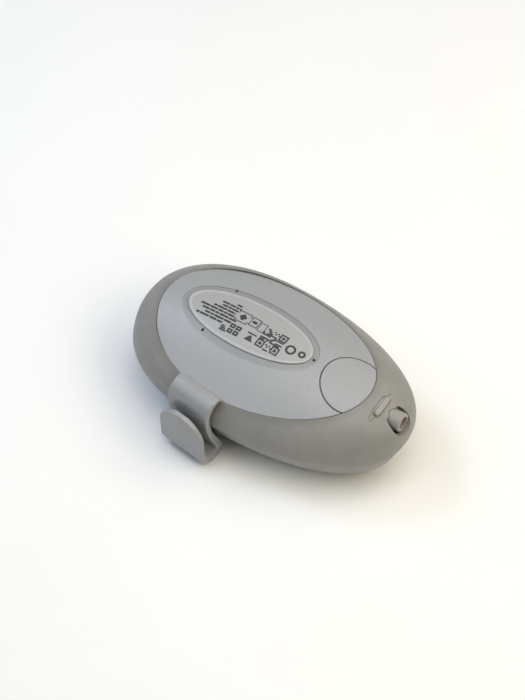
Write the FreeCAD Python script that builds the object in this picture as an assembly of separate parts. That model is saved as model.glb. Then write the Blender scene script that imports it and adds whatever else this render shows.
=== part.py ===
import FreeCAD, Part
import math
import os

# Pocket-size air pump hub. Back plate up (+Z), ports at the +X end, garment clip on the -Y side.
# Origin: centre of the flat front face the hub rests on. Millimetres.

V = FreeCAD.Vector
os.makedirs("parts", exist_ok=True)

# ---- driving dimensions ----
HALF_L, HALF_W = 59.0, 34.8       # widest outline
Z_WIDE = 20.6                     # height of the widest outline
RISE = 18.0                       # flank rise above the widest outline
SEAM_L, SEAM_W, Z_SEAM = 56.45, 31.4, 14.46
SEAM_GAP = 0.7                    # seam between cover and shell, filled by the gasket
FRONT_DEPTH, FRONT_INSET = 15.5, 20.0
EGG, EGG_TOP = 0.119, 0.097       # outline is fuller towards -X
N_WIDE, N_TOP = 2.29, 2.05        # outline exponents
WALL = 2.0
TOP_Z, TOP_KX, TOP_KY, TOP_K4 = 40.0, 0.0020, 0.0139, 2.74e-6
PLATE_A, PLATE_B, PLATE_X = 45.6, 29.6, -3.8
PLATE_T, PLATE_GAP = 2.0, 0.2
LABEL_A, LABEL_B, LABEL_X = 27.5, 11.0, -11.35
CHANNEL_A, CHANNEL_B, CHANNEL_DEPTH = 29.9, 13.9, 0.4
BEAD_W, BEAD_H, BEAD_R = 1.3, 0.3, 0.3    # raised rim round the label, above the dome
DISC_X, DISC_R, DISC_T, DISC_GAP = 34.5, 12.35, 1.5, 0.45
CHASSIS_Z, CHASSIS_T = 16.0, 2.0
BOARD_Z, BOARD_T = 6.4, 1.6
CLIP_ORIGIN, CLIP_YAW = V(-3.6, -29.35, 30.0), -5.0
CLIP_W, CLIP_T = 19.4, 2.2
PADDLE_IN, ARCH_Z = 11.8, -13.7     # paddle offset from the lip, height of its arch centre
USB_C, USB_TILT = V(47.6, -1.0, 35.1), 32.0
TUBE_C, TUBE_TILT = V(55.2, 0.0, 30.4), 84.0    # mouth of the stub, lean from vertical
TUBE_R, BORE_R, ELBOW_X = 3.7, 2.6, 50.6
BUTTONS = {"power_button": (-31.0, 4.5), "minus_button": (-13.5, 5.0), "play_button": (9.0, 6.5),
           "plus_button": (26.0, 5.0), "mode_button": (36.6, 3.4)}
BUTTON_GAP, BUTTON_FACE = 0.35, 0.25
PUMP_Y, HOSE_Z = 6.0, 20.9
SCREW_SPOTS = [(-41.3, 9.0), (-41.3, -9.0), (15.0, 20.5), (15.0, -20.5)]


# ---- shape helpers ----
def ring(a, b, z, n=N_WIDE, egg=EGG, cx=0.0, count=48):
    pts = []
    for k in range(count):
        t = 2 * math.pi * k / count
        c, s = math.cos(t), math.sin(t)
        x = math.copysign(abs(c) ** (2 / n), c)
        y = math.copysign(abs(s) ** (2 / n), s)
        pts.append(V(cx + a * x, b * y * (1 - egg * x), z))
    curve = Part.BSplineCurve()
    curve.interpolate(Points=pts, PeriodicFlag=True)
    return Part.Wire([curve.toShape()])


def prism(a, b, z0, z1, n=2.0, egg=0.0, cx=0.0):
    return Part.Face(ring(a, b, z0, n, egg, cx)).extrude(V(0, 0, z1 - z0))


def plate_prism(grow, z0=10.0, z1=60.0):
    return prism(PLATE_A + grow, PLATE_B + grow, z0, z1, N_TOP, EGG_TOP, PLATE_X)


def top_z(x, y):
    return TOP_Z - TOP_KX * x ** 2 - TOP_KY * y ** 2 + TOP_K4 * y ** 4


def dome(shift, depth):
    """Slab whose top follows the domed back, lowered by shift, depth thick."""
    grid = [[V(x, y, top_z(x, y) - shift) for y in range(-45, 46, 9)] for x in range(-70, 71, 10)]
    surf = Part.BSplineSurface()
    surf.interpolate(grid)
    return surf.toShape().extrude(V(0, 0, -depth))


def flank(z, inset=0.0, inset_w=None, rise=RISE):
    """Half length and half width of the outline at height z, above the seam."""
    inset_w = inset if inset_w is None else inset_w
    if z >= Z_WIDE:
        u = (z - Z_WIDE) / rise
        a, b = (1 - u ** 3.2) ** (1 / 3.2), math.sqrt(1 - u * u)
        return (HALF_L - inset) * a, (HALF_W - inset_w) * b
    t = (Z_WIDE - z) / (Z_WIDE - Z_SEAM)
    return HALF_L - (HALF_L - SEAM_L) * t * t - inset, HALF_W - (HALF_W - SEAM_W) * t * t - inset_w


def front(z, inset=0.0):
    u = (Z_SEAM - z) / FRONT_DEPTH
    i = FRONT_INSET * (1 - (1 - u ** 2.2) ** (1 / 2.2)) + inset
    return SEAM_L - i, SEAM_W - i


def loft(levels, outline, **kw):
    wires = []
    for z in levels:
        a, b = outline(z, **kw)
        u = min(max((z - Z_WIDE) / 16.0, 0), 1)
        wires.append(ring(a, b, z, N_WIDE + (N_TOP - N_WIDE) * u, EGG + (EGG_TOP - EGG) * u))
    return Part.makeLoft(wires, True, False)


def cyl(r, h, p, d=V(0, 0, 1)):
    return Part.makeCylinder(r, h, p, d)


def box(x0, x1, y0, y1, z0, z1):
    return Part.makeBox(x1 - x0, y1 - y0, z1 - z0, V(x0, y0, z0))


def fuse(first, *rest):
    out = first
    for s in rest:
        out = out.fuse(s)
    return out.removeSplitter()


def soft_edges(shape, radius, test=lambda e: True):
    edges = [e for e in shape.Edges if test(e)]
    return shape.makeFillet(radius, edges)


def save(name, *shapes):
    shape = shapes[0] if len(shapes) == 1 else Part.makeCompound(list(shapes))
    if len(shape.Solids) == 1:
        shape = shape.Solids[0]
    shape.exportStep("parts/" + name + ".step")


def placed(shape, origin, xdir, zdir):
    """Move a shape drawn at the world origin so its x and z follow xdir and zdir."""
    ydir = zdir.cross(xdir)
    m = FreeCAD.Matrix(xdir.x, ydir.x, zdir.x, origin.x, xdir.y, ydir.y, zdir.y, origin.y,
                       xdir.z, ydir.z, zdir.z, origin.z, 0, 0, 0, 1)
    return shape.transformed(m, True)


def slot(length, width, z0, z1):
    """Obround prism, long along y."""
    r, h = width / 2, (length - width) / 2
    core = box(-r, r, -h, h, z0, z1)
    return fuse(core, cyl(r, z1 - z0, V(0, -h, z0)), cyl(r, z1 - z0, V(0, h, z0)))


# ---- local frames of the two ports ----
tu = math.radians(USB_TILT)
USB_AX, USB_TU = V(math.sin(tu), 0, math.cos(tu)), V(math.cos(tu), 0, -math.sin(tu))
tt = math.radians(TUBE_TILT)
TUBE_AX = V(math.sin(tt), 0, math.cos(tt))


def at_usb(shape):
    return placed(shape, USB_C, USB_TU, USB_AX)


def tube_cyl(r, t0, t1):
    return cyl(r, t1 - t0, TUBE_C + TUBE_AX * t0, TUBE_AX)


# ---- housing ----
outer_upper = loft([14.4, 16, 18, 20.6, 23, 26, 28.5, 30.5, 32.5, 34, 35.3, 36.3, 37.0], flank)
shell_cut = box(-80, 80, -60, 60, 0, Z_SEAM + SEAM_GAP / 2)
cavity = loft([14.0, 16, 18, 20.6, 23, 26, 28, 30, 31.5, 32.6, 33.3], flank,
              inset=WALL, inset_w=2.3, rise=13.5)
pocket = dome(PLATE_T + 0.05, -12).common(plate_prism(0.0))
mid_shell = outer_upper.cut(shell_cut).cut(cavity).cut(pocket).cut(plate_prism(-2.6))

usb_seat = at_usb(slot(9.9, 3.3, -1.3, 8))
usb_hole = at_usb(slot(9.4, 3.2, -14, 0))
tail_seat = at_usb(fuse(box(-1.0, 0.6, -8.2, 0, -1.3, 8), cyl(0.8, 9.3, V(-0.2, -8.2, -1.3))))
thumb = Part.makeSphere(2.0, USB_C + V(0.9, 6.2, 0.6))
mid_shell = mid_shell.cut(usb_seat).cut(usb_hole).cut(tail_seat).cut(thumb)
mid_shell = mid_shell.cut(tube_cyl(TUBE_R + 0.15, -6, 12)).cut(tube_cyl(TUBE_R + 1.2, -3.2, 12))
mid_shell = mid_shell.cut(cyl(3.65, 14, V(ELBOW_X, 0, 18.5)))

# clip frame: e1 along the clip width, e2 outwards
cy = math.radians(CLIP_YAW)
E1, E2 = V(math.cos(cy), math.sin(cy), 0), V(math.sin(cy), -math.cos(cy), 0)


def clip_pt(s, o, z):
    return CLIP_ORIGIN + E1 * s + E2 * o + V(0, 0, z)


def clip_box(s0, s1, o0, o1, z0, z1):
    corners = [clip_pt(s0, o0, z0), clip_pt(s1, o0, z0), clip_pt(s1, o1, z0), clip_pt(s0, o1, z0)]
    return Part.Face(Part.makePolygon(corners + corners[:1])).extrude(V(0, 0, z1 - z0))


anchor_seat = clip_box(-16.9, -2.5, 2.6, 12, -11.3, -3.7)
mid_shell = fuse(mid_shell, clip_box(-18.4, -1.0, 1.0, 8, -12.6, -2.6).common(outer_upper))
mid_shell = mid_shell.cut(anchor_seat)
save("mid_shell", mid_shell)

front_out = loft([0, 0.5, 1.2, 2.2, 3.5, 5, 7, 9, 11.5, Z_SEAM], front)
front_in = loft([WALL, 2.8, 4, 5.5, 7.5, 9.5, 12, Z_SEAM], front, inset=WALL)
cover = front_out.cut(front_in).cut(box(-80, 80, -60, 60, Z_SEAM - SEAM_GAP / 2, 30))
lip = prism(54.0, 29.0, 9.5, 17.0, N_WIDE, EGG).cut(prism(52.4, 27.4, 9.0, 18.0, N_WIDE, EGG))
posts = [cyl(2.2, 14.1, V(x, y, 1.85)) for x, y in ((-43, 5), (-43, -5), (43.5, 4), (43.5, -4))]
studs = [cyl(1.8, 4.5, V(x, y, 1.85)) for x in (-33, 33) for y in (-11.5, 11.5)]
cover = fuse(cover, lip, *posts, *studs)
LIGHTS = [(x, 11.5) for x in (-14, -7, 0, 7, 14)]
for x, r in BUTTONS.values():
    cover = cover.cut(cyl(r + BUTTON_GAP, 6, V(x, 0, -1)))
for x, y in LIGHTS:
    cover = cover.cut(cyl(0.85, 6, V(x, y, -1)))
save("front_cover", cover)

gasket = prism(55.7, 30.65, 14.13, 14.79, N_WIDE, EGG).cut(prism(54.2, 29.15, 14, 15, N_WIDE, EGG))
save("seam_gasket", gasket)

# ---- back plate, label, access cover ----
plate = dome(0, PLATE_T).common(plate_prism(-PLATE_GAP))
channel = dome(CHANNEL_DEPTH, -6).common(prism(CHANNEL_A, CHANNEL_B, 20, 50, 2.03, 0, LABEL_X))
plate = plate.cut(channel)
plate = plate.cut(dome(DISC_T + 0.05, -8).common(cyl(DISC_R, 40, V(DISC_X, 0, 15))))
plate = plate.cut(cyl(10.4, 40, V(DISC_X, 0, 15)))
for x, y in ((-25.9, 12.0), (-25.8, -10.6), (17.3, 0.0)):
    plate = plate.cut(cyl(0.6, 20, V(x, y, 25)))
bosses = [cyl(2.5, top_z(x, y) - 1.2 - 18.05, V(x, y, 18.05)).cut(cyl(0.85, 8, V(x, y, 18)))
          for x, y in SCREW_SPOTS]
under = dome(1.0, 30)
plate = fuse(plate, *[b.common(under) for b in bosses])
save("back_plate", plate)

def label_prism(inset):
    return prism(LABEL_A - inset, LABEL_B - inset, 20, 50, 2.03, 0, LABEL_X)


def on_bead_top(e):
    mid = e.valueAt((e.FirstParameter + e.LastParameter) / 2)
    return e.Length > 30 and abs(mid.z - top_z(mid.x, mid.y) - BEAD_H) < 0.05


label = dome(-0.1, CHANNEL_DEPTH + 0.07).common(label_prism(0.3))
bead = dome(-BEAD_H, CHANNEL_DEPTH + BEAD_H - 0.03).common(label_prism(0).cut(label_prism(BEAD_W)))
save("label_insert", fuse(label, soft_edges(bead, BEAD_R, on_bead_top)))

lid = dome(0, DISC_T).common(cyl(DISC_R - DISC_GAP, 40, V(DISC_X, 0, 15))).common(plate_prism(-PLATE_GAP))
skirt = dome(DISC_T - 0.1, 2.2).common(cyl(10.1, 40, V(DISC_X, 0, 15)).cut(cyl(9.0, 40, V(DISC_X, 0, 15))))
lid = fuse(lid, skirt.common(plate_prism(-3.1)))
save("access_cover", lid)

cup = cyl(6.0, 4.4, V(33, 0, 30.6)).cut(cyl(5.2, 4, V(33, 0, 31.4)))
save("filter_cup", fuse(cup, cyl(1.6, 12.7, V(33, -4.0, 18.05))).cut(cyl(0.8, 6, V(33, -4.0, 26))))
save("filter_pad", cyl(5.1, 3.2, V(33, 0, 31.45)))

# ---- garment clip ----
# profile points are (distance out, height) from CLIP_ORIGIN
INNER = [(0.35, 0.4), (2.6, 0.6), (4.7, -0.4), (6.1, -2.2), (6.8, -5.4), (6.8, -9.2), (6.2, -12.9),
         (5.1, -17.0), (3.6, -21.0), (2.0, -25.2)]
OUTER = [(0.35, 2.1), (2.9, 3.0), (5.7, 2.2), (7.9, 0.2), (9.0, -3.0), (9.2, -6.6), (8.9, -10.6),
         (8.1, -14.6), (6.9, -18.4), (5.2, -22.6)]
BEND_IN = [(5.2, -22.6), (5.4, -24.6), (7.2, -25.4), (9.4, -25.4), (11.2, -24.4), (11.8, -22.0)]
BEND_OUT = [(2.0, -25.2), (1.9, -27.7), (4.0, -29.2), (7.0, -29.6), (10.4, -29.2), (13.0, -26.8),
            (14.0, -22.0)]
FLARE, FLARE_Z = 1.3, -13.0       # the bend is wider than the strap by this much at its +X end
CORNER_R = 3.4
PADDLE_S = (-19.8, 1.2)            # paddle's two sides


def spline(pts, s):
    curve = Part.BSplineCurve()
    curve.interpolate([clip_pt(s, o, z) for o, z in pts])
    return curve.toShape()


def chain(pts, s):
    q = [clip_pt(s, o, z) for o, z in pts]
    return [Part.makeLine(q[k], q[k + 1]) for k in range(len(q) - 1)]


def clip_face(edges, s_len):
    return Part.Face(Part.Wire(Part.__sortEdges__(edges))).extrude(E1 * s_len)


def clip_outline(lines, curve_pts):
    """Flat outline in the width and height plane, extruded through the whole clip depth."""
    corners = [clip_pt(s, -2, z) for s, z in lines]
    curve = Part.BSplineCurve()
    curve.interpolate([clip_pt(s, -2, z) for s, z in curve_pts])
    edges = [Part.makeLine(a, b) for a, b in zip(corners, corners[1:])]
    return Part.Face(Part.Wire(Part.__sortEdges__(edges + [curve.toShape()]))).extrude(E2 * 20)


s0, s_len = -CLIP_W, CLIP_W + FLARE
strap = clip_face([spline(INNER, s0), spline(OUTER, s0)]
                  + chain([INNER[0], OUTER[0]], s0) + chain([INNER[-1], OUTER[-1]], s0), s_len)
bend = clip_face([spline(BEND_IN, s0), spline(BEND_OUT, s0)]
                 + chain([BEND_IN[0], BEND_OUT[0]], s0) + chain([BEND_IN[-1], BEND_OUT[-1]], s0), s_len)
side = [(0, 6), (0, FLARE_Z + 4), (0.12, FLARE_Z), (0.75, FLARE_Z - 6), (FLARE, FLARE_Z - 11),
        (FLARE, -29.9)]
foot_z = -29.8
outline = clip_outline([side[0], (s0, 6), (s0, foot_z + CORNER_R), (s0 + CORNER_R, foot_z), side[-1]], side)
body = fuse(strap, bend).common(outline).cut(outer_upper.translated(E2 * 0.12 + V(0, 0, 0.12)))
r_p, mid_s = (PADDLE_S[1] - PADDLE_S[0]) / 2, (PADDLE_S[0] + PADDLE_S[1]) / 2
paddle = clip_box(*PADDLE_S, PADDLE_IN, PADDLE_IN + CLIP_T, -22.4, ARCH_Z)
paddle = paddle.fuse(cyl(r_p, CLIP_T, clip_pt(mid_s, PADDLE_IN, ARCH_Z), E2)).removeSplitter()
paddle = soft_edges(paddle, 0.8, lambda e: e.BoundBox.ZMin > CLIP_ORIGIN.z - 22.3)
anchor = clip_box(-16.4, -3.0, 3.0, 7.9, -10.8, -4.2)
clip = fuse(body, paddle, anchor)
save("garment_clip", clip)


# ---- ports ----
def near_t(e, t):
    return abs((e.CenterOfMass - TUBE_C).dot(TUBE_AX) - t) < 0.05


collar = soft_edges(tube_cyl(TUBE_R, -5.2, 1.6), 0.7, lambda e: near_t(e, 1.6))
elbow_top = TUBE_C.z - 2.6
elbow = cyl(3.4, 5.6, V(ELBOW_X, 0, elbow_top - 2.4))
nipple = cyl(1.4, 1.8, V(ELBOW_X, 0, elbow_top - 4.0))
socket = fuse(collar, elbow, nipple)
socket = socket.cut(tube_cyl(BORE_R, -4.4, 3)).cut(tube_cyl(3.2, -2.6, -1.6)).cut(tube_cyl(0.8, -5.4, -4))
socket = socket.cut(cyl(0.8, 9.5, V(ELBOW_X, 0, elbow_top - 7)))
save("tube_port", socket)
save("port_o_ring", Part.makeTorus(2.9, 0.29, TUBE_C + TUBE_AX * -2.1, TUBE_AX))

receptacle = slot(9.0, 3.2, -11.2, -3.9).cut(slot(8.4, 2.6, -10.6, -3)).fuse(
    box(-0.35, 0.35, -3.3, 3.3, -10.9, -4.6)).removeSplitter()
save("usb_receptacle", at_usb(receptacle))
save("port_board", at_usb(box(-2.8, -1.75, -6, 6, -12.0, -6.6)))
flap = at_usb(slot(9.6, 3.0, -1.2, 6)).fuse(
    at_usb(fuse(box(-0.85, 0.45, -8.2, 0, -1.2, 6), cyl(0.65, 7.2, V(-0.2, -8.2, -1.2)))))
flap = flap.common(outer_upper.translated(V(0, 0, -0.1)))
ridge = at_usb(slot(9.0, 1.8, -1.1, 0.8)).fuse(at_usb(slot(8.0, 2.4, -3.4, -1.1)))
save("port_flap", fuse(flap, ridge))

# ---- controls ----
for name, (x, r) in BUTTONS.items():
    cap = cyl(r, 2.0, V(x, 0, BUTTON_FACE))
    cap = soft_edges(cap, 0.35, lambda e: e.BoundBox.ZMax < BUTTON_FACE + 0.01)
    dish = Part.makeSphere(r * 3, V(x, 0, BUTTON_FACE - r * 3 + 0.3))
    save(name, fuse(cap.cut(dish), cyl(r + 1.0, 0.75, V(x, 0, 2.1)), cyl(1.5, 1.5, V(x, 0, 2.8))))
membrane = soft_edges(box(-37, 41, -7.5, 7.5, 5.0, 5.7), 3, lambda e: abs(e.Length - 0.7) < 0.01)
save("keypad_membrane", membrane)
pipes = [fuse(cyl(0.75, 4.6, V(x, y, 0.15)), cyl(1.2, 0.8, V(x, y, 4.6))) for x, y in LIGHTS]
save("light_pipes", *pipes)
board = box(-37, 41, -15, 15, BOARD_Z, BOARD_Z + BOARD_T)
board = soft_edges(board, 4, lambda e: abs(e.Length - BOARD_T) < 0.01)
switches = [box(x - 1.5, x + 1.5, -1.5, 1.5, 5.75, BOARD_Z + 0.1) for x, r in BUTTONS.values()]
chips = [box(-20, -12, 5, 12, 8, 9), box(-2, 5, -11, -4, 8, 9), box(20, 30, 3, 8, 8, 10.5),
         box(-34, -28, -10, 4, 8, 12)]
save("main_board", fuse(board, *[c.translated(V(0, 0, -0.05)) for c in chips], *switches))

# ---- chassis and inner works ----
chassis = prism(51, 26, CHASSIS_Z, CHASSIS_Z + CHASSIS_T, N_WIDE, EGG)
for x, y in SCREW_SPOTS:
    chassis = chassis.cut(cyl(1.1, 4, V(x, y, 15)))
chassis = chassis.cut(box(26, 32, -22, -15, 15, 19))
rails = [box(-38, 10, 18.0, 19.2, 17.9, 22), box(-38, 10, -19.2, -18.0, 17.9, 22),
         box(-38.3, -37.1, -19.2, 19.2, 17.9, 22)]
save("chassis", fuse(chassis, *rails))
screws = [fuse(cyl(1.9, 1.1, V(x, y, 14.85)), cyl(0.8, 8.8, V(x, y, 15.9))) for x, y in SCREW_SPOTS]
save("case_screws", *screws)
save("battery_pouch", soft_edges(box(-36.5, 8, -17, 17, 18.1, 26.3), 1.8))
save("battery_foam", box(-33, 5, -14, 14, 26.4, 28.4))

can = cyl(6.0, 15, V(11.0, PUMP_Y, 25), V(1, 0, 0))
can = soft_edges(can, 0.8, lambda e: e.CenterOfMass.x < 11.2 and e.BoundBox.XLength < 0.1)
foot = box(13, 24, PUMP_Y - 4, PUMP_Y + 4, 18.05, 20.5)
save("pump_motor", fuse(can, foot).cut(cyl(1.35, 8, V(20, PUMP_Y, 25), V(1, 0, 0))))
head = box(26.1, 38.5, -2, 14, 18.05, 30.2)
head = soft_edges(head, 1.2, lambda e: e.BoundBox.XLength > 10 and e.CenterOfMass.z > 25)
head = fuse(head, cyl(1.4, 3.6, V(38.2, 0, HOSE_Z), V(1, 0, 0)))
head = head.cut(cyl(4.4, 8.2, V(28.3, PUMP_Y, 25), V(1, 0, 0)))
head = head.cut(cyl(1.35, 5, V(26, PUMP_Y, 25), V(1, 0, 0)))
save("pump_housing", head.cut(cyl(0.8, 8, V(36.2, 0, HOSE_Z), V(1, 0, 0))))
save("pump_rotor", fuse(cyl(1.0, 14.2, V(20.5, PUMP_Y, 25), V(1, 0, 0)),
                        cyl(3.2, 4, V(29.5, PUMP_Y + 0.7, 25), V(1, 0, 0))))

# hose: straight from the pump nozzle, a quarter turn, straight up to the tube port's elbow
corner = V(ELBOW_X, 0, HOSE_Z)
ends = V(38.8, 0, HOSE_Z), V(ELBOW_X, 0, elbow_top - 2.6)
bend_r = 2.9
a0, a1 = corner - V(bend_r, 0, 0), corner + V(0, 0, bend_r)
arc_m = a0 + V(0, 0, bend_r) + V(1, 0, -1) * (bend_r / math.sqrt(2))
arc = Part.Arc(a0, arc_m, a1).toShape()
path = Part.Wire([Part.makeLine(ends[0], a0), arc, Part.makeLine(a1, ends[1])])
rings = [Part.Wire([Part.makeCircle(r, ends[0], V(1, 0, 0))]) for r in (2.3, 1.45)]
hose = [path.makePipeShell([w], True, True) for w in rings]
save("air_hose", hose[0].cut(hose[1]))

valve = soft_edges(box(12, 24, -17, -7, 18.05, 28.4), 1.0, lambda e: abs(e.Length - 10.35) < 0.01)
save("valve_body", valve.cut(cyl(2.4, 8, V(18, -12, 22.0))))
save("valve_plunger", fuse(cyl(2.0, 6.6, V(18, -12, 23.4)), cyl(3.2, 1.0, V(18, -12, 29.7))))
save("pressure_sensor", fuse(box(27, 34, -13, -6, 18.05, 21), cyl(1.3, 3.5, V(30.5, -9.5, 20.9))))
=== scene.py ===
import bpy
import bmesh
import math
from mathutils import Matrix, Vector


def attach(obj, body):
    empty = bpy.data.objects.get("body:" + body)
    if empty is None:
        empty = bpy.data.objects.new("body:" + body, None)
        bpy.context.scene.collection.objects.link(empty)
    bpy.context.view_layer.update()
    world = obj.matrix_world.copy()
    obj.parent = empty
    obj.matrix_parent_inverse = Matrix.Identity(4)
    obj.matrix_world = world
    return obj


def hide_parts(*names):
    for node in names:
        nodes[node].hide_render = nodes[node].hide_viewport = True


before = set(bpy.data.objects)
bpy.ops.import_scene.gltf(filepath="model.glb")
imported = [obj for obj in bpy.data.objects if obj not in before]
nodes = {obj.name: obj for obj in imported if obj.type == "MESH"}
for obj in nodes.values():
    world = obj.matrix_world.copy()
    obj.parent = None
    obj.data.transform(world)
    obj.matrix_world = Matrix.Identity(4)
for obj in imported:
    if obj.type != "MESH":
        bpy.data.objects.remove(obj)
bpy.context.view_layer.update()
MM = 0.001
scene = bpy.context.scene
scene.view_settings.view_transform = "Standard"
scene.view_settings.look = "None"

# ---- sizes the looks share with the parts ----
CAMERA_DIST, CAMERA_AIM_Z = 0.6044, 0.0186      # metres
LIGHT_DIST = 0.9
LABEL_X = -0.01135
# ovals in metres where shade and highlights are painted into colours: half length, half width, middle x
CHANNEL_SHADE_OVAL = (0.0299, 0.0139, LABEL_X)
BEAD_HIGHLIGHT_OVAL = (0.0264, 0.0099, LABEL_X)
PLATE_EDGE_SHADE_OVAL = (0.0489, 0.0329, -0.0038)
RIDGE_HIGHLIGHT_OVAL = (0.0018, 0.0056, 0.0478)
SOFT_EDGE = 0.0005                # radius that sharp edges seem rounded by
TOP_Z, TOP_KX, TOP_KY, TOP_K4 = 40.0, 0.0020, 0.0139, 2.74e-6    # domed back, mm


# ---- camera and lights ----
def look_from(az, el, roll, dist, target):
    """Camera matrix that looks at target from a compass direction and height in degrees."""
    a, e, r = math.radians(az), math.radians(el), math.radians(roll)
    back = Vector((math.sin(a) * math.cos(e), -math.cos(a) * math.cos(e), math.sin(e)))
    side = Vector((math.cos(a), math.sin(a), 0))
    up = back.cross(side)
    right = side * math.cos(r) + up * math.sin(r)
    up = up * math.cos(r) - side * math.sin(r)
    m = Matrix((right, up, back)).transposed().to_4x4()
    m.translation = Vector(target) + back * dist
    return m


cam = bpy.data.objects.new("camera", bpy.data.cameras.new("camera"))
scene.collection.objects.link(cam)
cam.matrix_world = look_from(33.67, 55.0, 0.69, CAMERA_DIST, (0, 0, CAMERA_AIM_Z))
cam.data.lens = 81.0
cam.data.shift_x, cam.data.shift_y = -0.0176, 0.0286
cam.data.clip_start = 0.01
scene.camera = cam


def studio_light(name, az, el, power, color, size=0.6):
    """Soft disk light aimed at the object from a compass direction and height in degrees."""
    a, e = math.radians(az), math.radians(el)
    away = Vector((math.sin(a) * math.cos(e), -math.cos(a) * math.cos(e), math.sin(e)))
    data = bpy.data.lights.new(name, "AREA")
    data.shape, data.size, data.energy, data.color = "DISK", size, power, color
    obj = bpy.data.objects.new(name, data)
    scene.collection.objects.link(obj)
    obj.location = away * LIGHT_DIST
    obj.rotation_euler = (-away).to_track_quat("-Z", "Y").to_euler()


studio_light("top", 0, 90, 2.9, (1.03, 1.0, 0.95))
studio_light("right", 90, 45, 2.6, (1.08, 1.0, 0.78))
studio_light("right_back", 135, 50, 1.9, (1.08, 1.0, 0.86))
studio_light("back", 180, 50, 0.9, (1.08, 1.0, 0.88))
studio_light("left", 270, 50, 1.45, (0.81, 1.0, 1.3), 0.3)
studio_light("left_front", 315, 50, 1.5, (0.91, 1.0, 1.12))
world = bpy.data.worlds.new("studio")
scene.world = world
world.use_nodes = True
background = world.node_tree.nodes["Background"]
background.inputs["Color"].default_value = (1, 1, 1, 1)
background.inputs["Strength"].default_value = 0.06


# ---- materials ----
class Mat:
    """Node material with a Principled shader; helpers add procedural colour, roughness and bump."""

    def __init__(self, name, rough=0.5, metal=0.0, **sockets):
        self.m = bpy.data.materials.new(name)
        self.m.use_nodes = True
        self.t = self.m.node_tree
        self.p = self.t.nodes["Principled BSDF"]
        self.p.inputs["Roughness"].default_value = rough
        self.p.inputs["Metallic"].default_value = metal
        for key, value in sockets.items():
            self.p.inputs[key.replace("_", " ")].default_value = value
        self.coord = self.t.nodes.new("ShaderNodeTexCoord").outputs["Object"]

    def node(self, kind, **values):
        n = self.t.nodes.new(kind)
        for key, value in values.items():
            n.inputs[key].default_value = value
        return n

    def noise(self, scale, detail=4.0, rough=0.6):
        n = self.node("ShaderNodeTexNoise", Scale=scale, Detail=detail, Roughness=rough)
        self.t.links.new(self.coord, n.inputs["Vector"])
        return n.outputs["Fac"]

    def ramp(self, fac, stops):
        r = self.t.nodes.new("ShaderNodeValToRGB")
        el = r.color_ramp.elements
        while len(el) < len(stops):
            el.new(0.5)
        for e, (pos, col) in zip(el, stops):
            e.position = pos
            e.color = (*col, 1)
        self.t.links.new(fac, r.inputs["Fac"])
        return r.outputs["Color"]

    def colour(self, a, b, scale=60.0):
        shade = self.ramp(self.noise(scale), [(0.35, a), (0.65, b)])
        self.t.links.new(shade, self.p.inputs["Base Color"])
        return self

    def calc(self, op, a, b=0.0):
        """Math node of two values, each a number or another node's output."""
        n = self.t.nodes.new("ShaderNodeMath")
        n.operation = op
        for socket, value in zip(n.inputs, (a, b)):
            if isinstance(value, float):
                socket.default_value = value
            else:
                self.t.links.new(value, socket)
        return n.outputs[0]

    def paint_shading_oval(self, half_x, half_y, mid_x, edge, amount, egg=0.0):
        """Paint light or shade into the colour: multiply it by amount inside an oval seen along z, below 1
        for painted shade and above 1 for a painted highlight; egg narrows it towards +x.
        """
        split = self.t.nodes.new("ShaderNodeSeparateXYZ")
        self.t.links.new(self.coord, split.inputs[0])
        u = self.calc("DIVIDE", self.calc("SUBTRACT", split.outputs["X"], mid_x), half_x)
        wide = self.calc("MULTIPLY", self.calc("SUBTRACT", 1.0, self.calc("MULTIPLY", u, egg)), half_y)
        v = self.calc("DIVIDE", split.outputs["Y"], wide)
        r = self.calc("SQRT", self.calc("ADD", self.calc("MULTIPLY", u, u), self.calc("MULTIPLY", v, v)))
        shade = self.ramp(r, [(1 - edge, (amount,) * 3), (1.0, (1.0,) * 3)])
        mix = self.t.nodes.new("ShaderNodeMix")
        mix.data_type, mix.blend_type = "RGBA", "MULTIPLY"
        mix.inputs["Factor"].default_value = 1.0
        old = self.p.inputs["Base Color"].links[0].from_socket
        self.t.links.new(old, mix.inputs["A"])
        self.t.links.new(shade, mix.inputs["B"])
        self.t.links.new(mix.outputs["Result"], self.p.inputs["Base Color"])
        return self

    def roughness(self, lo, hi, scale=300.0):
        r = self.ramp(self.noise(scale), [(0.3, (lo,) * 3), (0.7, (hi,) * 3)])
        self.t.links.new(r, self.p.inputs["Roughness"])
        return self

    def bump(self, scale, strength=0.2, depth=0.00002, detail=3.0, edge=0.0):
        """Fine surface grain; edge is the radius in metres that sharp edges seem rounded by."""
        b = self.node("ShaderNodeBump", Strength=strength, Distance=depth)
        if edge:
            soft = self.node("ShaderNodeBevel", Radius=edge)
            soft.samples = 6
            self.t.links.new(soft.outputs["Normal"], b.inputs["Normal"])
        self.t.links.new(self.noise(scale, detail), b.inputs["Height"])
        self.t.links.new(b.outputs["Normal"], self.p.inputs["Normal"])
        return self


plate_mat = Mat("plate", 0.38).colour((0.335, 0.345, 0.36), (0.355, 0.363, 0.375), 900)
plate_mat.roughness(0.34, 0.46).bump(5000, 0.25, edge=SOFT_EDGE)
# painted shade: the plate is darkened inside the channel oval, standing in for shade in the recessed
# channel
plate_mat.paint_shading_oval(*CHANNEL_SHADE_OVAL, edge=0.03, amount=0.8)
rim_mat = Mat("rim", 0.5, Subsurface_Weight=0.25, Subsurface_Scale=0.002)
rim_mat.colour((0.262, 0.257, 0.244), (0.293, 0.287, 0.272), 90)
rim_mat.roughness(0.44, 0.58).bump(6000, 0.3, edge=0.0004)
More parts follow.
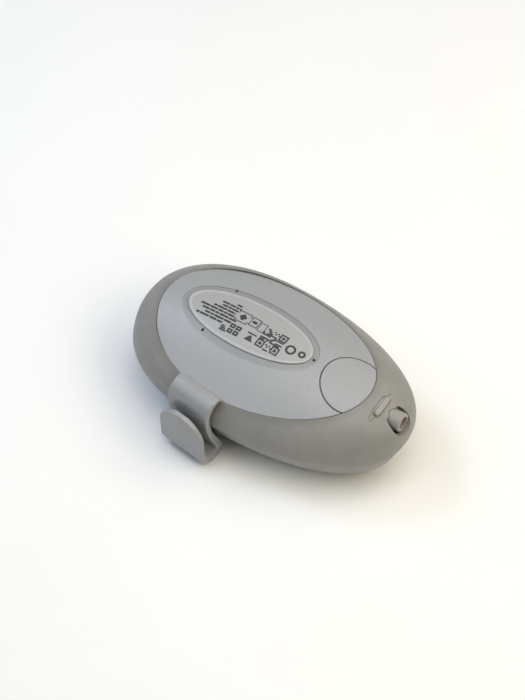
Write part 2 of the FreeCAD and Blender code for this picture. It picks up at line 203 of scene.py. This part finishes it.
# painted shade: the rim is darkened next to the plate's edge, standing in for shade in the groove there
rim_mat.paint_shading_oval(*PLATE_EDGE_SHADE_OVAL, edge=0.07, amount=0.8, egg=0.097)
cover_mat = Mat("cover", 0.5).colour((0.34, 0.33, 0.31), (0.365, 0.355, 0.33), 45)
cover_mat.roughness(0.42, 0.55).bump(5000, 0.25)
clip_mat = Mat("clip", 0.3).colour((0.318, 0.323, 0.333), (0.33, 0.335, 0.344), 60)
clip_mat.roughness(0.3, 0.33, 900.0).bump(4500, 0.2)
label_mat = Mat("label", 0.42).colour((0.44, 0.445, 0.45), (0.455, 0.46, 0.463), 60)
label_mat.roughness(0.34, 0.44).bump(4500, 0.15, edge=SOFT_EDGE)
# painted highlight: the label face inside the oval is darkened so the bead around it stays lighter,
# standing in for light caught by the bead
label_mat.paint_shading_oval(*BEAD_HIGHLIGHT_OVAL, edge=0.02, amount=0.845)
dark_mat = Mat("gasket", 0.7).colour((0.05, 0.05, 0.045), (0.07, 0.07, 0.06), 80)
dark_mat.roughness(0.6, 0.8).bump(3000, 0.3)
port_mat = Mat("port", 0.42, Subsurface_Weight=0.4, Subsurface_Scale=0.0015)
port_mat.colour((0.315, 0.308, 0.287), (0.335, 0.328, 0.306), 60).roughness(0.36, 0.46).bump(4000, 0.2)
flap_mat = Mat("flap", 0.55).colour((0.28, 0.275, 0.258), (0.3, 0.294, 0.277), 60)
flap_mat.roughness(0.5, 0.6).bump(5000, 0.3)
# painted highlight: the flap is lightened on its ridge, standing in for light caught by the ridge's top
flap_mat.paint_shading_oval(*RIDGE_HIGHLIGHT_OVAL, edge=0.25, amount=1.22)
button_mat = Mat("button", 0.55).colour((0.60, 0.60, 0.58), (0.63, 0.63, 0.61), 40)
button_mat.roughness(0.5, 0.62).bump(5000, 0.3)
pipe_mat = Mat("light_pipe", 0.3).colour((0.75, 0.77, 0.78), (0.8, 0.82, 0.82), 60)
pipe_mat.roughness(0.25, 0.35).bump(3000, 0.1)
steel_mat = Mat("steel", 0.35, 1.0).colour((0.55, 0.56, 0.57), (0.6, 0.61, 0.62), 60)
steel_mat.roughness(0.28, 0.42).bump(3000, 0.1)
board_mat = Mat("board", 0.45).colour((0.01, 0.09, 0.04), (0.012, 0.12, 0.05), 90)
board_mat.roughness(0.4, 0.5).bump(1500, 0.2)
inner_mat = Mat("inner", 0.55).colour((0.07, 0.072, 0.075), (0.09, 0.092, 0.095), 60)
inner_mat.roughness(0.5, 0.62).bump(2500, 0.2)
foam_mat = Mat("foam", 0.95).colour((0.015, 0.015, 0.016), (0.035, 0.035, 0.037), 1500)
foam_mat.roughness(0.9, 1.0).bump(1800, 0.8, 0.0002)
pouch_mat = Mat("pouch", 0.4, 0.6).colour((0.55, 0.56, 0.58), (0.62, 0.63, 0.65), 40)
pouch_mat.roughness(0.35, 0.5).bump(700, 0.3)
hose_mat = Mat("hose", 0.4).colour((0.70, 0.70, 0.67), (0.74, 0.74, 0.71), 60)
hose_mat.roughness(0.35, 0.45).bump(2000, 0.1)

LOOK = {
    "mid_shell": rim_mat, "front_cover": cover_mat, "seam_gasket": dark_mat, "back_plate": plate_mat,
    "label_insert": label_mat, "access_cover": plate_mat, "garment_clip": clip_mat, "tube_port": port_mat,
    "port_o_ring": dark_mat, "port_flap": flap_mat, "light_pipes": pipe_mat, "usb_receptacle": steel_mat,
    "port_board": board_mat, "main_board": board_mat, "case_screws": steel_mat, "filter_pad": foam_mat,
    "battery_foam": foam_mat, "battery_pouch": pouch_mat, "pump_motor": steel_mat, "pump_rotor": steel_mat,
    "valve_body": steel_mat, "valve_plunger": steel_mat, "air_hose": hose_mat, "keypad_membrane": hose_mat}
for name, obj in nodes.items():
    look = button_mat if name.endswith("_button") else LOOK.get(name, inner_mat)
    obj.data.materials.clear()
    obj.data.materials.append(look.m)

ink_mat = Mat("ink", 0.6).colour((0.030, 0.032, 0.034), (0.045, 0.047, 0.05), 800)
ink_mat.roughness(0.5, 0.65).bump(4000, 0.2)


# ---- pieces ----
def add_piece(name, bm, material, body, smooth=True):
    bmesh.ops.recalc_face_normals(bm, faces=bm.faces)
    mesh = bpy.data.meshes.new(name)
    bm.to_mesh(mesh)
    bm.free()
    if smooth:
        mesh.shade_smooth()
    mesh.materials.append(material.m)
    obj = bpy.data.objects.new(name, mesh)
    scene.collection.objects.link(obj)
    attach(obj, body)
    return obj


def catmull(pts, steps):
    """Smooth line through the points, each a tuple of the same length."""
    before = tuple(2 * a - b for a, b in zip(pts[0], pts[1]))
    after = tuple(2 * a - b for a, b in zip(pts[-1], pts[-2]))
    p = [before, *pts, after]
    out = []
    for k in range(1, len(p) - 2):
        for j in range(steps):
            t = j / steps
            out.append(tuple(
                0.5 * (2 * b + (c - a) * t + (2 * a - 5 * b + 4 * c - d) * t ** 2
                       + (3 * b - a - 3 * c + d) * t ** 3)
                for a, b, c, d in zip(p[k - 1], p[k], p[k + 1], p[k + 2])))
    return out + [pts[-1]]


# garment clip: one strip swept from the lip over the bend to the arched paddle
# lengths are in mm; s runs along the clip's width, o outwards, z up, all from the lip's corner
CLIP_AT = Vector((-3.6, -29.35, 30.0))
CLIP_YAW = math.radians(-5)
ACROSS = Vector((math.cos(CLIP_YAW), math.sin(CLIP_YAW), 0))
OUTWARD = Vector((math.sin(CLIP_YAW), -math.cos(CLIP_YAW), 0))
PADDLE_OUT, PADDLE_T = 12.9, 2.2
ARCH_Z, ARCH_R, ARCH_S = -13.7, 10.5, -9.3       # paddle's round top: centre height, radius, middle
PADDLE_FROM = 12.0                # the strip is the paddle beyond this o
STRAP_S0, SPREAD_S0, SPREAD_S1 = -19.4, 0.4, 1.2 # strap's -s side, and how far the bend widens each side
SPREAD_Z, SPREAD_RUN = -11, 12    # the widening starts at this z and ends so far below it
CORNER_S, CORNER_Z, CORNER_RUN = 1.6, -24.5, 3.2 # rounded lower corner on the -s side
EDGE_R, CORNER_STEPS = 0.85, 7    # roundness of the strip's long edges
BLOCK_MID, BLOCK_SIZE = (-9.7, 5.45, -7.5), (13.4, 4.9, 6.6)     # seat block behind the strap
# centre line: o, z and thickness
STRIP = [(0.45, 1.3, 1.7), (2.75, 1.85, 2.3), (5.3, 0.95, 2.5), (7.1, -1.0, 2.5), (7.95, -4.2, 2.4),
         (8.0, -7.9, 2.4), (7.55, -11.8, 2.6), (6.6, -15.8, 2.7), (5.3, -19.7, 2.9), (4.0, -23.4, 3.2),
         (4.1, -26.2, 3.7), (6.0, -27.5, 4.0), (8.6, -27.5, 4.0), (11.0, -26.4, 3.6), (12.4, -24.2, 2.8),
         (12.9, -21.2, 2.2), (12.9, -17.0, 2.2), (12.9, ARCH_Z, 2.2)]


def on_arch(o, z):
    return o > PADDLE_FROM and z > ARCH_Z


def clip_sides(o, z):
    """The strip's two edges along the clip's width at a point of its centre line."""
    if on_arch(o, z):
        half = math.sqrt(max(ARCH_R ** 2 - (z - ARCH_Z) ** 2, 0))
        return ARCH_S - half, ARCH_S + half
    down = min(max((SPREAD_Z - z) / SPREAD_RUN, 0), 1)
    grow = 1 if o > PADDLE_FROM else down * down * (3 - 2 * down)
    corner = CORNER_S * max(0, (CORNER_Z - z) / CORNER_RUN) ** 2
    return STRAP_S0 - SPREAD_S0 * grow + corner, SPREAD_S1 * grow


def strip_ring(half_w, half_t, corner):
    """Rounded rectangle about the strip's centre, as (along width, along thickness)."""
    pts = []
    for sx, sy, start in ((1, 1, 0), (-1, 1, 90), (-1, -1, 180), (1, -1, 270)):
        for k in range(CORNER_STEPS):
            a = math.radians(start + 15 * k)
            w = sx * (half_w - corner) + corner * math.cos(a)
            h = sy * (half_t - corner) + corner * math.sin(a)
            pts.append((w, h))
    return pts


def thinned(o, z, half_t, lip):
    """Half thickness, rounded off at the lip and at the paddle's top."""
    to_top = ARCH_Z + ARCH_R - z if on_arch(o, z) else 9
    near = min(math.hypot(o - lip[0], z - lip[1]), to_top)
    if near >= EDGE_R:
        return half_t
    return half_t - EDGE_R * (1 - math.sqrt(max(1 - (1 - near / EDGE_R) ** 2, 0)))


def seat_block(bm):
    block = bmesh.ops.create_cube(bm, size=1.0)["verts"]
    for v in block:
        s, o, z = (mid + size * c for mid, size, c in zip(BLOCK_MID, BLOCK_SIZE, v.co))
        v.co = (CLIP_AT + ACROSS * s + OUTWARD * o + Vector((0, 0, z))) * MM
    edges = list({e for v in block for e in v.link_edges})
    bmesh.ops.bevel(bm, geom=edges, offset=0.5 * MM, segments=3, affect="EDGES", profile=0.5)


def clip_piece():
    line = catmull(STRIP, 9)
    for a in (*range(3, 88, 3), 88.2, 89, 89.6):
        line.append((PADDLE_OUT, ARCH_Z + ARCH_R * math.sin(math.radians(a)), PADDLE_T))
    bm = bmesh.new()
    rings = []
    for k, (o, z, t) in enumerate(line):
        a, b = line[max(k - 1, 0)], line[min(k + 1, len(line) - 1)]
        run = Vector((b[0] - a[0], b[1] - a[1])).normalized()
        normal = OUTWARD * -run.y + Vector((0, 0, run.x))
        low, high = clip_sides(o, z)
        half_w, half_t = (high - low) / 2, thinned(o, z, t / 2, line[0])
        corner = min(EDGE_R, half_t * 0.98, half_w * 0.98)
        mid = CLIP_AT + ACROSS * (low + high) / 2 + OUTWARD * o + Vector((0, 0, z))
        pts = [mid + ACROSS * w + normal * h for w, h in strip_ring(half_w, half_t, corner)]
        rings.append([bm.verts.new(p * MM) for p in pts])
    for r0, r1 in zip(rings, rings[1:]):
        for k in range(len(r0)):
            bm.faces.new((r0[k], r0[k - 1], r1[k - 1], r1[k]))
    bm.faces.new(rings[0])
    bm.faces.new(rings[-1])
    seat_block(bm)
    return add_piece("clip_strip", bm, clip_mat, "garment_clip")


clip = clip_piece()
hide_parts("garment_clip")


# ---- printed marks on the label: plain bars, frames and blocks that say nothing, in mm ----
INK_Z = (0.04, 0.15)              # bottom and top of the ink above the domed back
ROWS = [(-32.7, -20.6), (-29.6, -17.4), (-31.8, -16.4), (-33.4, -18.4), (-28.4, -18.5), (-25.4, -18.3),
        (-26.4, -17.8), (-20.6, -18.4)]           # both ends of each row of bars
ROW_Y, ROW_PITCH, ROW_HALF = -5.0, 1.45, 0.42
CODE_AT, CELL, CELLS = (-4.8, -7.2), 0.72, 13


def top_z(x, y):
    return TOP_Z - TOP_KX * x ** 2 - TOP_KY * y ** 2 + TOP_K4 * y ** 4


def ink_face(bm, pts):
    rows = [[bm.verts.new(Vector((x, y, top_z(x, y) + h)) * MM) for x, y in pts] for h in INK_Z]
    bm.faces.new(rows[1])
    bm.faces.new(list(reversed(rows[0])))
    for k in range(len(pts)):
        bm.faces.new((rows[0][k - 1], rows[0][k], rows[1][k], rows[1][k - 1]))


def ink_bar(bm, x0, x1, y0, y1):
    n = max(1, round((x1 - x0) / 1.5))
    xs = [x0 + (x1 - x0) * k / n for k in range(n + 1)]
    ink_face(bm, [(x, y0) for x in xs] + [(x, y1) for x in reversed(xs)])


def ink_frame(bm, x, y, w, h, line):
    ink_bar(bm, x - w / 2, x + w / 2, y - h / 2, y - h / 2 + line)
    ink_bar(bm, x - w / 2, x + w / 2, y + h / 2 - line, y + h / 2)
    ink_bar(bm, x - w / 2, x - w / 2 + line, y - h / 2 + line, y + h / 2 - line)
    ink_bar(bm, x + w / 2 - line, x + w / 2, y - h / 2 + line, y + h / 2 - line)


def ink_ring(bm, x, y, r, line, count=24):
    def at(k, q):
        a = 2 * math.pi * k / count
        return x + q * math.cos(a), y + q * math.sin(a)

    for k in range(count):
        ink_face(bm, [at(k, r - line), at(k, r), at(k + 1, r), at(k + 1, r - line)])


def bar_rows(bm):
    for k, (x, end) in enumerate(ROWS):
        y = ROW_Y + ROW_PITCH * k
        step = 0
        while x < end:
            length = 1.4 + 0.9 * ((step * 7 + k * 5) % 4)
            ink_bar(bm, x, min(x + length, end), y - ROW_HALF, y + ROW_HALF)
            x += length + 0.3
            step += 1
    for k in range(3):
        ink_bar(bm, -20.4, -17.6 - 0.6 * k, -7.9 + 0.85 * k, -7.2 + 0.85 * k)


def boxes(bm):
    for x in (-16.2, -13.6):
        for y in (-6.6, -4.2):
            ink_frame(bm, x, y, 2.2, 1.9, 0.7)
    ink_frame(bm, -15.2, 1.1, 5.6, 5.2, 0.36)
    ink_face(bm, [(-16.8, 1.1), (-15.2, -0.6), (-13.6, 1.1), (-15.2, 2.8)])
    ink_frame(bm, -10.0, 1.3, 3.9, 4.4, 0.36)
    ink_bar(bm, -11.0, -9.0, 0.7, 1.9)
    ink_frame(bm, -6.3, 0.8, 2.9, 4.2, 0.3)
    ink_face(bm, [(-9.7, -6.8), (-6.2, -6.8), (-7.6, -4.4), (-8.3, -4.4)])
    ink_bar(bm, -9.9, -5.9, -3.9, -3.3)


def block_pattern(bm):
    """Made-up square pattern that encodes nothing, with three framed corners."""
    for i in range(CELLS):
        for j in range(CELLS):
            framed = (i < 5 or i > 8) and j < 5 or i > 8 and j > 8
            if not framed and (i * i * 7 + j * 11 + i * j * 5 + j * j * 3) % 9 < 5:
                x, y = CODE_AT[0] + CELL * i, CODE_AT[1] + CELL * j
                ink_bar(bm, x, x + CELL * 0.92, y, y + CELL * 0.92)
    for x, y in ((-3.3, -5.3), (3.2, -5.3), (3.2, 1.0)):
        ink_frame(bm, x, y, 3.3, 3.3, 0.6)
        ink_bar(bm, x - 0.6, x + 0.6, y - 0.6, y + 0.6)


def label_marks():
    bm = bmesh.new()
    bar_rows(bm)
    boxes(bm)
    block_pattern(bm)
    ink_ring(bm, 8.0, -1.6, 2.1, 0.85)
    ink_ring(bm, 12.6, -1.0, 1.5, 0.85)
    return add_piece("label_marks", bm, ink_mat, "hub", smooth=False)


label_marks()

# ---- floor ----
bm = bmesh.new()
bmesh.ops.create_grid(bm, x_segments=8, y_segments=8, size=3.0)
floor = bpy.data.objects.new("floor", bpy.data.meshes.new("floor"))
bm.to_mesh(floor.data)
scene.collection.objects.link(floor)
floor.location.z = -0.0002
floor_mat = Mat("floor", 0.9).colour((0.90, 0.90, 0.90), (0.92, 0.92, 0.92), 6).bump(300, 0.05)
floor.data.materials.append(floor_mat.m)
